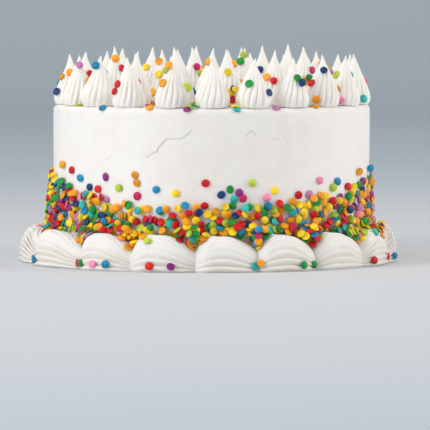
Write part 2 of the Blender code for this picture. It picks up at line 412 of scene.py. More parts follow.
# %% Smoothed icing
# Start and end of each hairline, left to right and from the foot up, in metres; its width and its strength
HAIRLINES = (
    ((-0.0430, 0.0740), (-0.0360, 0.0782), 0.0008, 0.7),
    ((-0.0360, 0.0782), (-0.0300, 0.0865), 0.0007, 1.0),
    ((-0.0300, 0.0865), (-0.0185, 0.0875), 0.0005, 0.6),
    ((-0.0185, 0.0875), (-0.0130, 0.0925), 0.0007, 0.8),
    ((-0.0730, 0.0700), (-0.0640, 0.0755), 0.0004, 0.35),
    ((0.0225, 0.0885), (0.0260, 0.0925), 0.0004, 0.6),
    ((0.0260, 0.0925), (0.0300, 0.0895), 0.0004, 0.6),
    ((0.0380, 0.0875), (0.0450, 0.0860), 0.0004, 0.4),
    ((0.0480, 0.0890), (0.0500, 0.0830), 0.0004, 0.4),
)
LINE_STRAY = 0.003
CRACK_TINT, CRACK_DARKER = (0.55, 0.50, 0.44, 1.0), 0.32
STREAK_STRETCH, STREAK_SCALE, STREAK_DEPTH = (9.0, 9.0, 1.0), 12.0, 0.8
COAT_ICING, coat_height, coat_colour = icing_material("smoothed_icing", COAT_LIGHT, COAT_DEEP, COAT_GRAIN)
tree = COAT_ICING.node_tree
upright = add_node(tree, "ShaderNodeMapping", {"Vector": object_place(tree), "Scale": STREAK_STRETCH})
streak = noise_texture(tree, upright.outputs["Vector"], STREAK_SCALE, 4.0)["Fac"]
relief = maths(tree, "ADD", coat_height, maths(tree, "MULTIPLY", streak, STREAK_DEPTH))
cracks = 0.0
for (x0, z0), (x1, z1), width, strength in HAIRLINES:
    inputs = {"Start X": x0, "Start Z": z0, "End X": x1, "End Z": z1, "Width": width, "Stray": LINE_STRAY}
    line = add_node(tree, "ShaderNodeGroup", inputs, node_tree=hairline)
    cracks = maths(tree, "MAXIMUM", cracks, maths(tree, "MULTIPLY", line.outputs["Mask"], strength))
darker = mix_colours(tree, maths(tree, "MULTIPLY", cracks, CRACK_DARKER), coat_colour, CRACK_TINT)
finish_icing(COAT_ICING, darker, maths(tree, "SUBTRACT", relief, cracks), COAT_RELIEF)
print("materials:", PIPED_ICING.name, COAT_ICING.name, "with", len(HAIRLINES), "hairlines")

# %% [markdown]
# ## The coat
#
# The drum could be a lathed profile. Here it starts as a cylinder, as a cake does: its top edge is bevelled
# round, as the spatula leaves it, its side is cut into rings and its top is inset, so that there are points
# to move. Then the icing's slow waves are put in, as real relief, a few tenths of a millimetre deep.

# %% The coat
COAT_STEPS = 220
COAT_RINGS = 44
RIM_ROUNDING, RIM_SEGMENTS = 0.0036, 6
TOP_INSETS = (0.004, 0.012, 0.02, 0.03)
WAVE_SIZE, WAVE_DEPTH = 0.055, 0.0005
SMEAR_SIZE, SMEAR_DEPTH, SMEAR_STRETCH = 0.06, 0.00022, (5, 5, 1)
TOP_SWELL = 0.0002

start_fresh()
bpy.ops.mesh.primitive_cylinder_add(
    vertices=COAT_STEPS, radius=CAKE_RADIUS, depth=CAKE_TOP, end_fill_type="NGON",
    location=(0, 0, CAKE_TOP / 2),
)
coat = open_in_edit_mode("iced_coat")
pick(coat, lambda vert: vert.co.z > CAKE_TOP / 2)
bpy.ops.mesh.bevel(offset=RIM_ROUNDING, segments=RIM_SEGMENTS)
for ring in range(1, COAT_RINGS):
    bpy.ops.mesh.select_all(action="SELECT")
    level = (CAKE_TOP - RIM_ROUNDING) * ring / COAT_RINGS
    bpy.ops.mesh.bisect(plane_co=(0, 0, level), plane_no=(0, 0, 1))
pick(coat, lambda vert: vert.co.z > CAKE_TOP - TINY)
for inset in TOP_INSETS:
    bpy.ops.mesh.inset(thickness=inset)
bpy.ops.object.mode_set(mode="OBJECT")

points = read_points(coat.data)
waved = uneven(points, WAVE_SIZE, WAVE_DEPTH)
upright = points * SMEAR_STRETCH
waved += uneven(upright, SMEAR_SIZE, SMEAR_DEPTH, shift=5.0) - upright
waved[:, 2] = np.where(points[:, 2] < TINY, 0.0, np.minimum(waved[:, 2], CAKE_TOP + TOP_SWELL))
write_points(coat.data, waved)
face_outwards(coat)
bpy.ops.object.shade_smooth()
coat.data.materials.append(COAT_ICING)
print("coat:", len(coat.data.polygons), "faces, closed:", is_closed(coat.data))

# %% [markdown]
# ## One peak, then all of them
#
# A peak is piped with a star nozzle held upright: the icing swells out, the bag is pulled up, and the
# ridges that the nozzle's teeth leave run together into a fine tip, turning a little as the hand turns.
# So one peak is modelled the same way: a round outline is extruded upwards, ring by ring, and each ring is
# resized. Its ridges and its turn come after. It is one unit tall and one unit in radius, and each copy is
# then fitted to its node.

# %% One peak
PEAK_RIDGES = 16
PEAK_STEPS = 64
PEAK_LEVELS = 28
PEAK_PROFILE = (
    (0.0, 0.84), (0.03, 0.90), (0.18, 1.0), (0.4, 0.80), (0.65, 0.44), (0.8, 0.22), (0.9, 0.10), (1.0, 0.025),
)

start_fresh()
bpy.ops.mesh.primitive_circle_add(
    vertices=PEAK_STEPS, radius=smooth(PEAK_PROFILE, 0.0), fill_type="NGON", location=(0, 0, 0)
)
peak = open_in_edit_mode("peak_pattern")
for level in range(1, PEAK_LEVELS + 1):
    low, high = (level - 1) / PEAK_LEVELS, level / PEAK_LEVELS
    extrude(0, 0, high - low)
    ratio = smooth(PEAK_PROFILE, high) / smooth(PEAK_PROFILE, low)
    bpy.ops.transform.resize(value=(ratio, ratio, 1), center_override=(0, 0, high))
bpy.ops.mesh.merge(type="CENTER")
bpy.ops.object.mode_set(mode="OBJECT")
round_off(peak)
print("peak:", len(peak.data.polygons), "faces, closed:", is_closed(peak.data))

# %% [markdown]
# The nozzle's teeth leave broad ridges with narrow valleys between them. The points are fine enough now to
# carry them: each is moved in by how near it is to a valley. The ridges fade into the smooth tip, and the
# whole peak is turned a little more the higher it is. How deep a point lies is kept as an attribute, which
# sets the warm shade painted into the valleys.

# %% Ridges of a peak
PEAK_VALLEY_DEPTH = ((0.0, 0.07), (0.2, 0.10), (0.5, 0.115), (0.75, 0.07), (0.9, 0.02), (1.0, 0.0))
PEAK_TWIST = math.radians(30)
VALLEY_SHARPNESS = 0.7
PEAK_CREVICE_SHADE = 0.45
PATCH_ROUND, PATCH_UP = 1.5, 2.0
PATCH_MIDDLE, PATCH_SWING, PATCH_LIMITS = 0.85, 0.9, (0.2, 1.3)


def valley(phase):
    """0 on a ridge and 1 in the narrow valley, where phase is a whole number of half turns."""
    return 1 - np.abs(np.sin(phase)) ** VALLEY_SHARPNESS


def keep_crevice_shade(mesh, values):
    """Stores how deep in a valley each point lies, which sets the warm shade painted there."""
    layer = mesh.attributes.new("crevice_shade", "FLOAT", "POINT")
    layer.data.foreach_set("value", np.asarray(values, np.float32))


points = read_points(peak.data)
share = points[:, 2].clip(0, 1)
angle = np.arctan2(points[:, 1], points[:, 0])
inward = valley(PEAK_RIDGES * angle / 2)
deep = np.array([smooth(PEAK_VALLEY_DEPTH, at) for at in share])
patchy = np.array([
    noise.noise((PATCH_ROUND * math.cos(at), PATCH_ROUND * math.sin(at), PATCH_UP * up))
    for at, up in zip(angle, share)
])
deep *= np.clip(PATCH_MIDDLE + PATCH_SWING * patchy, *PATCH_LIMITS)
radius = np.hypot(points[:, 0], points[:, 1]) * (1 - deep * inward)
turned = angle + PEAK_TWIST * share
write_points(peak.data, np.stack((radius * np.cos(turned), radius * np.sin(turned), points[:, 2]), axis=1))
keep_crevice_shade(peak.data, inward * (deep / deep.max()) * PEAK_CREVICE_SHADE)
print("ridges:", PEAK_RIDGES, "deepest", round(float(deep.max()), 3), "of the radius")

# %% [markdown]
# Each node gives its peak a foot, a tip and a widest radius. The copy is scaled to them, turned by its own
# angle, and bent, because a tip leans more the higher it is. A slow noise then makes it one of a kind.

# %% Fitting the peaks
PEAK_WAVE_SIZE, PEAK_WAVE = 0.009, 0.00045
PEAK_BELLY = 0.3
PEAK_SINK = 0.0005
PEAK_FATTER = 0.05
PEAK_BEND = 0.0012
draw = random.Random(SEED)


def piped_copy(name, pattern):
    """A smooth object of piped icing for a node, with its own copy of the pattern's mesh."""
    copy = add_object(f"piped_{name}", pattern.data.copy())
    copy.data.shade_smooth()
    copy.data.materials.append(PIPED_ICING)
    return copy


def fit_peak(name):
    """A copy of the pattern peak with its own mesh, in the place and size of its node."""
    points = node_points(name)
    low = points[:, 2].min()
    foot = points[points[:, 2] < low + TINY].mean(axis=0)
    tip = points[points[:, 2].argmax()]
    belly = points[points[:, 2] < low + PEAK_BELLY * (tip[2] - low)]
    widest = np.hypot(*(belly - foot)[:, :2].T).max()
    foot[2] = CAKE_TOP - PEAK_SINK
    copy = piped_copy(name, peak)
    shape = read_points(copy.data) @ np.array(Matrix.Rotation(draw.uniform(0, math.pi), 3, "Z")).T
    share = shape[:, 2:3].clip(0, 1)
    fatter = 1 + draw.uniform(-1, 1) * PEAK_FATTER * np.sin(math.pi * share)
    size = np.hstack((widest * fatter, widest * fatter, np.full_like(share, tip[2] - foot[2])))
    bend = PEAK_BEND * np.array((draw.gauss(0, 0.6), draw.gauss(0, 0.6), 0.0))
    lean = share**2 * (tip - foot) * (1, 1, 0) + share**7 * bend
    placed = uneven(shape * size + lean + foot, PEAK_WAVE_SIZE, PEAK_WAVE, shift=draw.uniform(0, 90))
    write_points(copy.data, placed)
    return copy


piped_peaks = {name: fit_peak(name) for name in PEAKS}
bpy.data.objects.remove(peak)
print("peaks:", len(piped_peaks), "copies of", len(piped_peaks[PEAKS[0]].data.polygons), "faces")

# %% [markdown]
# ## One shell, then the border
#
# A shell is piped with the bag laid down: the icing swells forwards and up at the head, then thins out as
# the bag is pulled away, and the next head covers the tail. It is a peak laid on its side, so it is made
# the same way: half a round outline, standing on its straight foot, is extruded along the border and
# resized at each step. Its ridges come after. They are faint on the smooth head and deep in the tail.

# %% One shell
SHELL_ARCH = 112
SHELL_LEVELS = 56
SHELL_START, SHELL_END = -0.06, 1.14
SHELL_STEP_GROWTH = 1.2
SHELL_TALL = ((-0.06, 0.34), (0.0, 0.56), (0.11, 0.86), (0.42, 1.0), (0.78, 0.85), (1.0, 0.62), (1.14, 0.42))
SHELL_DEEP = ((-0.06, 0.52), (0.0, 0.70), (0.11, 0.90), (0.42, 1.0), (0.78, 0.92), (1.0, 0.76), (1.14, 0.58))

start_fresh()
bpy.ops.mesh.primitive_circle_add(
    vertices=2 * SHELL_ARCH, radius=0.5, location=(SHELL_START, 0.5, 0), rotation=(0, math.pi / 2, 0)
)
shell = open_in_edit_mode("shell_pattern")
pick(shell, lambda vert: vert.co.z < -TINY)
bpy.ops.mesh.delete(type="VERT")
bpy.ops.mesh.select_all(action="SELECT")
bpy.ops.mesh.edge_face_add()
bpy.ops.transform.resize(
    value=(1, smooth(SHELL_DEEP, SHELL_START), smooth(SHELL_TALL, SHELL_START)),
    center_override=(SHELL_START, 0, 0),
)
for level in range(1, SHELL_LEVELS + 1):
    before, here = (
        SHELL_START + (SHELL_END - SHELL_START) * (step / SHELL_LEVELS) ** SHELL_STEP_GROWTH
        for step in (level - 1, level)
    )
    extrude(here - before, 0, 0)
    deeper, taller = (smooth(form, here) / smooth(form, before) for form in (SHELL_DEEP, SHELL_TALL))
    bpy.ops.transform.resize(value=(1, deeper, taller), center_override=(here, 0, 0))
bpy.ops.object.mode_set(mode="OBJECT")
face_outwards(shell)
print("shell:", len(shell.data.polygons), "faces, closed:", is_closed(shell.data))

# %% [markdown]
# The round arch is made squarer, as soft icing is that has settled on a flat foot. Its ridges fan out from
# the lower corner of the head, arch over the belly and run together again at the tail. So a ridge's place
# round the arch is stretched the further it is from the belly. The icing on top has slumped smooth. How far
# down it has is different from shell to shell, so each copy is ridged by itself. The shells at the left and
# the right have more and bolder ridges than those in front.

# %% Ridges of a shell
FRONT_RIDGES, SIDE_RIDGES = 12.0, 15.0
SHELL_BELLY = 0.42
SHELL_FAN = 0.8
BELLY_TO_ENDS = (0.48, 0.72)
SHELL_ROUNDNESS = 2.5
SHELL_HALF_DEEP = 0.475
SHELL_VALLEY_DEPTH = ((-0.06, 0.08), (0.1, 0.15), (0.35, 0.20), (0.7, 0.22), (1.14, 0.2))
SHELL_CREVICE_SHADE = 0.6
SLUMP_OVER = 0.12
SMOOTH_LEFT = 0.14
TAIL_FROM, TAIL_OVER, TAIL_RIDGED = 0.45, 0.5, 0.07


def arch(turn):
    """Out and up, from the middle of the foot, of the squarish arch at a turn."""
    out = np.sign(np.cos(turn)) * np.abs(np.cos(turn)) ** (2 / SHELL_ROUNDNESS)
    return out, np.sin(turn).clip(0) ** (2 / SHELL_ROUNDNESS)


turns = np.linspace(0, math.pi, 500)
out, up = arch(turns)
run = np.concatenate(([0.0], np.hypot(np.diff(out) * SHELL_HALF_DEEP, np.diff(up)).cumsum()))
points = read_points(shell.data)
share = points[:, 0]
deep, tall, depth = (
    np.array([smooth(stations, at) for at in share])
    for stations in (SHELL_DEEP, SHELL_TALL, SHELL_VALLEY_DEPTH)
)
over = np.arctan2(points[:, 2] / tall, points[:, 1] / deep - 0.5) / math.pi
out, up = arch(np.interp(over, run / run[-1], turns))
fan = 1 + SHELL_FAN * ((share - SHELL_BELLY) / np.where(share < SHELL_BELLY, *BELLY_TO_ENDS)) ** 2
tail = np.clip((share - TAIL_FROM) / TAIL_OVER, 0, 1)


def ridged_shell(ridges, smooth_from, bold, shift):
    """The shell's points, ridged up to smooth_from over the arch, and how deep each lies in a valley, which
    sets its painted shade.
    """
    inward = valley(ridges * math.pi * over * fan + shift)
    slump = np.clip((over * fan - smooth_from - TAIL_RIDGED * tail) / SLUMP_OVER, 0, 1)
    inward = inward * (1 - slump * (1 - SMOOTH_LEFT)) / np.sqrt(fan)
    ripple = 1 - bold * depth * inward
    return np.stack((share, deep * (0.5 + out * ripple / 2), tall * up * ripple), axis=1), inward


print("ridges:", FRONT_RIDGES, "to", SIDE_RIDGES, "over the arch")

# %% [markdown]
# Each node says at which angle a shell starts and ends, how tall it is and how far it stands out. The copy
# is bent round the drum to fit: what lies along the shell becomes an angle. Its tail runs on a little
# under the next head, as it does in icing, so no gap shows between them.

# %% Fitting the shells
SHELL_WAVE_SIZE, SHELL_WAVE = 0.012, 0.0006
FRONT_SMOOTH_FROM, SIDE_SMOOTH_FROM, SMOOTH_VARIES = 0.14, 0.38, 0.05
SIDE_BOLDER = 0.45
draw = random.Random(SEED + 2)
creases = []


def fit_shell(name, number):
    """A copy of the pattern shell with its own mesh, bent round the drum where its node is."""
    points = node_points(name)
    middle = points.mean(axis=0)
    facing = math.atan2(middle[0], -middle[1])
    angles = np.arctan2(points[:, 0], -points[:, 1]) - facing
    angles = (angles + math.pi) % (2 * math.pi) - math.pi
    radii = np.hypot(points[:, 0], points[:, 1])
    start, length = facing + angles.min(), np.ptp(angles)
    inner, deep, tall = radii.min() - GAP, np.ptp(radii), points[:, 2].max()
    creases.append(start)
    copy = piped_copy(name, shell)
    flank = math.sin(facing) ** 6
    smooth_from = FRONT_SMOOTH_FROM + (SIDE_SMOOTH_FROM - FRONT_SMOOTH_FROM) * flank
    smooth_from += draw.uniform(-SMOOTH_VARIES, SMOOTH_VARIES)
    ridges = FRONT_RIDGES + (SIDE_RIDGES - FRONT_RIDGES) * flank
    shape, crevice_shade = ridged_shell(ridges, smooth_from, 1 + SIDE_BOLDER * flank, draw.uniform(-0.5, 0.5))
    # How much warm shade is painted into each valley of this shell
    keep_crevice_shade(copy.data, crevice_shade * SHELL_CREVICE_SHADE)
    angle, radius = start + length * shape[:, 0], inner + deep * shape[:, 1]
    placed = np.stack((radius * np.sin(angle), -radius * np.cos(angle), tall * shape[:, 2]), axis=1)
    waved = uneven(placed, SHELL_WAVE_SIZE, SHELL_WAVE, shift=50 + 3.7 * number)
    waved[:, 2] = np.where(placed[:, 2] < TINY, 0.0, waved[:, 2].clip(0))
    write_points(copy.data, waved)
    return copy


piped_shells = {name: fit_shell(name, number) for number, name in enumerate(SHELLS)}
bpy.data.objects.remove(shell)
print("shells:", len(piped_shells), "copies of", len(piped_shells[SHELLS[0]].data.polygons), "faces")

# %% [markdown]
# ## One sprinkle
#
# The sprinkles are flat round discs cut from coloured sugar paste, about 5.6 mm across and 1.2 mm thick,
# with a soft edge. There are far more than a thousand, so one has only 38 faces: a cylinder of twelve
# sides with both rims bevelled once.

# %% One sprinkle
DISC_RADIUS = 0.0028
DISC_THICKNESS = 0.0012
DISC_SIDES = 12
DISC_BEVEL = 0.00028

start_fresh()
bpy.ops.mesh.primitive_cylinder_add(
    vertices=DISC_SIDES, radius=DISC_RADIUS, depth=DISC_THICKNESS, location=(0, 0, 0), end_fill_type="NGON"
)
disc = open_in_edit_mode("disc_pattern")
bpy.ops.mesh.select_all(action="DESELECT")
mesh = bmesh.from_edit_mesh(disc.data)
for edge in mesh.edges:
    edge.select = abs(edge.verts[0].co.z - edge.verts[1].co.z) < TINY
bmesh.update_edit_mesh(disc.data)
bpy.ops.mesh.bevel(offset=DISC_BEVEL, segments=1)
bpy.ops.object.mode_set(mode="OBJECT")
DISC_POINTS = read_points(disc.data)
DISC_FACES = [list(face.vertices) for face in disc.data.polygons]
bpy.data.objects.remove(disc)
print("sprinkle:", len(DISC_FACES), "faces")

# %% [markdown]
# ## How a sprinkle comes to lie
#
# A rigid body simulation of so many discs is slow and never ends quite still. Each disc is dropped one by
# one instead. It comes in along a line, and rays from points all over it find what it meets first: the
# icing, or a disc that is already there. It then lies along the plane through what they found, as low as
# it can without cutting into the highest of them.

# %% Dropping a sprinkle
FOOTPRINT = [(0.0, 0.0)]
FOOTPRINT += [(0.5 * math.cos(k * math.pi / 3), 0.5 * math.sin(k * math.pi / 3)) for k in range(6)]
FOOTPRINT += [(0.97 * math.cos(k * math.pi / 6), 0.97 * math.sin(k * math.pi / 6)) for k in range(12)]
FOOTPRINT = DISC_RADIUS * np.array(FOOTPRINT)
START_BACK = 0.06
NEARLY_TOUCHES = 0.0010
GRAZING = 0.05
LEAST_HITS, LEAST_NEAR, NEAR = 10, 6, 1.5 * DISC_RADIUS
MOST_DISCS = 4000
laid = {"centre": np.zeros((MOST_DISCS, 3)), "normal": np.zeros((MOST_DISCS, 3)), "count": 0}


def icing_tree(objects):
    """One search tree over the surfaces of several objects."""
    verts, faces = [], []
    for obj in objects:
        shift = len(verts)
        verts.extend(vert.co.copy() for vert in obj.data.vertices)
        faces.extend([index + shift for index in face.vertices] for face in obj.data.polygons)
    return BVHTree.FromPolygons(verts, faces)


def discs_met(origins, heading):
    """How far each ray runs to the face of the nearest laid disc, or infinity."""
    count = laid["count"]
    if not count:
        return np.full(len(origins), np.inf)
    centre, normal = laid["centre"][:count], laid["normal"][:count]
    near = np.linalg.norm(np.cross(centre - origins[0], heading), axis=1) < 3 * DISC_RADIUS
    centre, normal = centre[near], normal[near]
    if not len(centre):
        return np.full(len(origins), np.inf)
    facing = normal @ heading
    side = -np.sign(facing)
    face = centre + normal * (side * DISC_THICKNESS / 2)[:, None]
    steep = np.where(np.abs(facing) < GRAZING, GRAZING * np.where(facing < 0, -1, 1), facing)
    run = np.einsum("rcj,cj->rc", face[None] - origins[:, None], normal) / steep
    meet = origins[:, None] + run[..., None] * heading
    inside = np.linalg.norm(meet - face[None], axis=2) < DISC_RADIUS
    return np.where(inside, run, np.inf).min(axis=1)


def drop(target, heading, tree, steepest, tip, touching, one_sided):
    """Lays one disc that flies along heading through target. Says where it lies, or gives None if it missed
    or if too few points touch something, or only points on one side that are further out than one_sided."""
    heading = np.array(Vector(heading).normalized())
    frame_x = np.cross(heading, (0.0, 0.0, 1.0) if abs(heading[2]) < 0.9 else (0.0, 1.0, 0.0))
    frame_x /= np.linalg.norm(frame_x)
    frame_y = np.cross(heading, frame_x)
    spread = FOOTPRINT[:, :1] * frame_x + FOOTPRINT[:, 1:] * frame_y
    origins = np.array(target) - START_BACK * heading + spread
    runs = discs_met(origins, heading)
    for k, origin in enumerate(origins):
        hit = tree.ray_cast(Vector(origin), Vector(heading))
        if hit[0] is not None:
            runs[k] = min(runs[k], hit[3])
    if not np.isfinite(runs[0]) or np.isfinite(runs).sum() < LEAST_HITS:
        return None
    rise = -runs
    kept = np.isfinite(runs) & (rise > rise[np.isfinite(runs)].max() - NEAR)
    if kept.sum() < LEAST_NEAR:
        return None
    base = np.column_stack((FOOTPRINT[kept], np.ones(kept.sum())))
    slope_x, slope_y, level = np.linalg.lstsq(base, rise[kept], rcond=None)[0]
    slope = math.hypot(slope_x, slope_y)
    if slope > steepest:
        slope_x, slope_y = slope_x * steepest / slope, slope_y * steepest / slope
    slope_x, slope_y = slope_x + tip[0], slope_y + tip[1]
    level = (rise[kept] - FOOTPRINT[kept] @ (slope_x, slope_y)).max()
    below = level + FOOTPRINT @ (slope_x, slope_y) - rise
    held = np.isfinite(runs) & (below < NEARLY_TOUCHES)
    if held.sum() < touching or np.linalg.norm(FOOTPRINT[held].mean(axis=0)) > one_sided * DISC_RADIUS:
        return None
    normal = -heading - slope_x * frame_x - slope_y * frame_y
    normal /= np.linalg.norm(normal)
    centre = np.array(target) - START_BACK * heading - level * heading + normal * DISC_THICKNESS / 2
    k = laid["count"]
    laid["centre"][k], laid["normal"][k], laid["count"] = centre, normal, k + 1
    return centre, normal


# %% [markdown]
# ## Where the sprinkles lie
#
# A baker presses handfuls of them against the lower side while the icing is soft. They pile up thickly
# behind the shells, thin out upwards, and reach higher at the left and the right than in front. A few
# stick by themselves further up. Others roll down over the shells and into the creases between them, and
# a last handful is thrown over the top, where they lie between the peaks and on their slopes.

# %% The colours of the sprinkles
# Each is a name, its share of the handful, and its red, green and blue as light
CANDY = {
    "orange": (20, (0.92, 0.36, 0.012)),
    "yellow": (22, (0.95, 0.68, 0.02)),
    "red": (15, (0.66, 0.012, 0.016)),
    "green": (13, (0.012, 0.30, 0.045)),
    "blue": (6, (0.01, 0.25, 0.46)),
    "lime": (8, (0.46, 0.60, 0.05)),
    "teal": (5, (0.03, 0.46, 0.42)),
    "pink": (3, (0.86, 0.26, 0.42)),
    "magenta": (3, (0.58, 0.02, 0.12)),
    "purple": (2, (0.29, 0.025, 0.22)),
    "navy": (6, (0.01, 0.05, 0.17)),
    "lilac": (2, (0.54, 0.20, 0.45)),
}
draw = random.Random(SEED + 1)
tree = icing_tree([coat, *piped_shells.values(), *piped_peaks.values()])
sprinkles = []


def lay(target, heading, steepest, tip=0.0, colour=None, furthest=None, touching=4, one_sided=0.62):
    """Drops one disc and keeps it with its colour, its turn and its own slightly uneven size. A disc that
    would stand further from the axis than furthest falls off."""
    size = [draw.uniform(0.88, 1.05), draw.uniform(0.88, 1.05), draw.uniform(0.85, 1.1)]
    turn = draw.uniform(0, math.pi)
    colour = colour or draw.choices(list(CANDY), [share for share, _ in CANDY.values()])[0]
    tips = (draw.gauss(0, tip), draw.gauss(0, tip))
    placed = drop(target, heading, tree, steepest, tips, touching, one_sided)
    if placed is None:
        return
    if furthest and math.hypot(placed[0][0], placed[0][1]) > furthest:
        laid["count"] -= 1
        return
    sprinkles.append((*placed, turn, size, colour))


# %% Where the band ends
BAND_FOOT, BAND_TOP, BAND_RISE = 0.0150, 0.0430, 0.0175
HIGHEST_TRY = 0.070
BAND_RAGGED = 0.0035
BAND_TRIES = 19000
PILE_FOOT, PILE_TOP = 0.0070, 0.0031
PILE_THINNER_SIDES, PILE_THINNER_RIGHT = 0.3, 0.42
THINNER_UP, THINNER_SIDES = 0.8, 0.6
PILE_TIP, PILE_YAW, SIDE_YAW = 0.22, 0.25, 0.75
PILE_SINK = 0.6
PILE_STEEPEST = (0.15, 0.8)
BACK = (math.radians(95), math.radians(265))


def band_top(angle):
    """How high the band reaches: more at the sides than in front and behind, and ragged all round."""
    ragged = BAND_RAGGED * noise.noise(6 * around(angle, 1, 0))
    return BAND_TOP + BAND_RISE * math.sin(angle) ** 4 + ragged


def side_yaw(angle):
    """At the sides the discs came from the front or from behind, and many stand in the icing by an edge."""
    return -SIDE_YAW * math.sin(angle) ** 3 * (1 if math.cos(angle) + draw.gauss(0, 0.3) > 0 else -1)


# %% [markdown]
# The single discs above the band in front are few, and each can be told apart. So they are placed one by
# one, on the bare icing: how far round the drum, how high, and which colour. The back gets about as many,
# scattered by chance.

# %% Single sprinkles on the side
SINGLES = (
    (-67.1, 67.2, "orange"), (-75.4, 62.8, "yellow"), (-59.6, 64.1, "red"), (-53.8, 59.2, "blue"),
    (-40.4, 60.7, "purple"), (-27.8, 62.7, "orange"), (-27.0, 57.4, "orange"), (-34.4, 53.8, "lime"),
    (-26.8, 48.8, "magenta"), (-19.6, 53.3, "blue"), (-12.5, 51.0, "yellow"), (-2.0, 57.7, "red"),
    (-48.5, 53.5, "navy"), (-44.0, 52.5, "red"), (-46.1, 47.0, "red"), (-40.0, 45.8, "lilac"),
    (6.5, 53.6, "green"), (3.5, 50.1, "navy"), (9.8, 51.5, "purple"), (7.9, 47.1, "teal"),
    (11.0, 47.7, "magenta"), (14.4, 57.8, "lime"), (22.7, 52.6, "yellow"), (19.7, 47.8, "pink"),
    (32.2, 49.2, "red"), (36.9, 49.2, "lilac"), (44.8, 47.8, "yellow"), (41.7, 58.3, "pink"),
    (50.9, 57.0, "blue"), (48.5, 53.2, "lime"), (57.2, 53.2, "red"), (61.6, 52.5, "yellow"),
    (66.3, 62.4, "orange"), (80.2, 63.8, "blue"), (74.0, 55.1, "purple"), (87.8, 53.6, "orange"),
)
BACK_SINGLES, SINGLES_REACH = 34, 0.02

for degrees, height, colour in SINGLES:
    angle = math.radians(degrees)
    facing = angle - SIDE_YAW * math.sin(angle) ** 3
    target, heading = around(angle, CAKE_RADIUS, height / 1000), around(facing, -1, 0)
    lay(target, heading, steepest=0.1, tip=0.06, colour=colour, one_sided=1)
print("single sprinkles:", len(sprinkles), "of", len(SINGLES))
for _ in range(BACK_SINGLES):
    angle = draw.uniform(*BACK)
    height = band_top(angle) + 0.002 + SINGLES_REACH * draw.random() ** 1.5
    lay(around(angle, CAKE_RADIUS, height), around(angle, -1, 0), steepest=0.2)

# %% The band of sprinkles
for _ in range(BAND_TRIES):
    angle, height, luck = draw.uniform(-math.pi, math.pi), draw.uniform(BAND_FOOT, HIGHEST_TRY), draw.random()
    share = (height - BAND_FOOT) / (band_top(angle) - BAND_FOOT)
    flank = math.sin(angle) ** 4
    if share < 1 and luck < (1 - THINNER_UP * share**6) * (1 - THINNER_SIDES * flank * share):
        sink = draw.uniform(0.0, PILE_SINK) * (1 - 0.6 * share)
        yaw = draw.gauss(0, PILE_YAW) + side_yaw(angle) * draw.uniform(0.2, 1.0)
        pile = PILE_TOP + (PILE_FOOT - PILE_TOP) * (1 - share) * (1 - PILE_THINNER_SIDES * flank)
        pile *= 1 - PILE_THINNER_RIGHT * flank * (angle > 0)
        target = around(angle, CAKE_RADIUS, height)
        heading = around(angle + yaw, -math.cos(sink), -math.sin(sink))
        furthest = CAKE_RADIUS + pile
        lay(target, heading, draw.uniform(*PILE_STEEPEST), tip=PILE_TIP, furthest=furthest, one_sided=0.85)
print("with the band:", len(sprinkles))

# %% Sprinkles in the creases
# More of them lie where two shells meet than on the round back of a shell
CREASE_TRIES = 1700
IN_CREASE_SHARE = 0.42
CREASE_STRAY = 0.032
CREASE_SINK = (0.6, 1.1)
CREASE_OUT = 0.0045
# First for a crease, then for a back
OUT_SPREAD, CREASE_HEIGHT, CREASE_FURTHEST = (0.0060, 0.0012), (0.018, 0.024), (0.017, 0.0085)

for _ in range(CREASE_TRIES):
    on_back = draw.random() >= IN_CREASE_SHARE
    stray = draw.uniform(0, 2 * math.pi / len(SHELLS)) if on_back else draw.gauss(0, CREASE_STRAY)
    out = CREASE_OUT + abs(draw.gauss(0, OUT_SPREAD[on_back]))
    angle, sink = draw.choice(creases) + stray, draw.uniform(*CREASE_SINK)
    flank = math.sin(angle) ** 4
    target = around(angle, CAKE_RADIUS + out, CREASE_HEIGHT[on_back])
    heading = around(angle, -math.cos(sink), -math.sin(sink))
    furthest = CAKE_RADIUS + CREASE_FURTHEST[on_back] * (1 - 0.35 * flank)
    lay(target, heading, steepest=0.9, tip=0.12, furthest=furthest, touching=5)
print("with creases:", len(sprinkles))

# %% Single sprinkles on the shells
# How far round, how high, and the colour. They stuck to the soft border while it was being piped
SHELL_SINGLES = (
    (-64.2, 3.2, "blue"), (-43.9, 3.1, "red"), (-41.4, 3.3, "green"), (-36.6, 3.1, "pink"),
    (-32.1, 3.4, "blue"), (-18.1, 3.0, "red"), (-11.8, 3.0, "purple"), (13.1, 3.0, "teal"),
    (14.8, 5.0, "orange"), (28.1, 3.2, "green"), (32.5, 3.1, "green"), (58.3, 3.2, "red"), (70.0, 4.2, "red"),
    (78.2, 3.6, "blue"), (62.8, 21.5, "teal"), (67.4, 18.5, "orange"), (-67.7, 21.0, "red"),
    (-19.3, 19.5, "lime"),
)
BACK_SHELL_SINGLES, BACK_HEIGHTS = 18, (0.003, 0.018)
ON_SHELL = {"steepest": 1.4, "touching": 3}

for degrees, height, colour in SHELL_SINGLES:
    angle = math.radians(degrees)
    lay(around(angle, CAKE_RADIUS, height / 1000), around(angle, -1, -0.05), colour=colour, **ON_SHELL)
for _ in range(BACK_SHELL_SINGLES):
    angle = draw.uniform(*BACK)
    lay(around(angle, CAKE_RADIUS, draw.uniform(*BACK_HEIGHTS)), around(angle, -1, -0.05), **ON_SHELL)
print("with shells:", len(sprinkles))

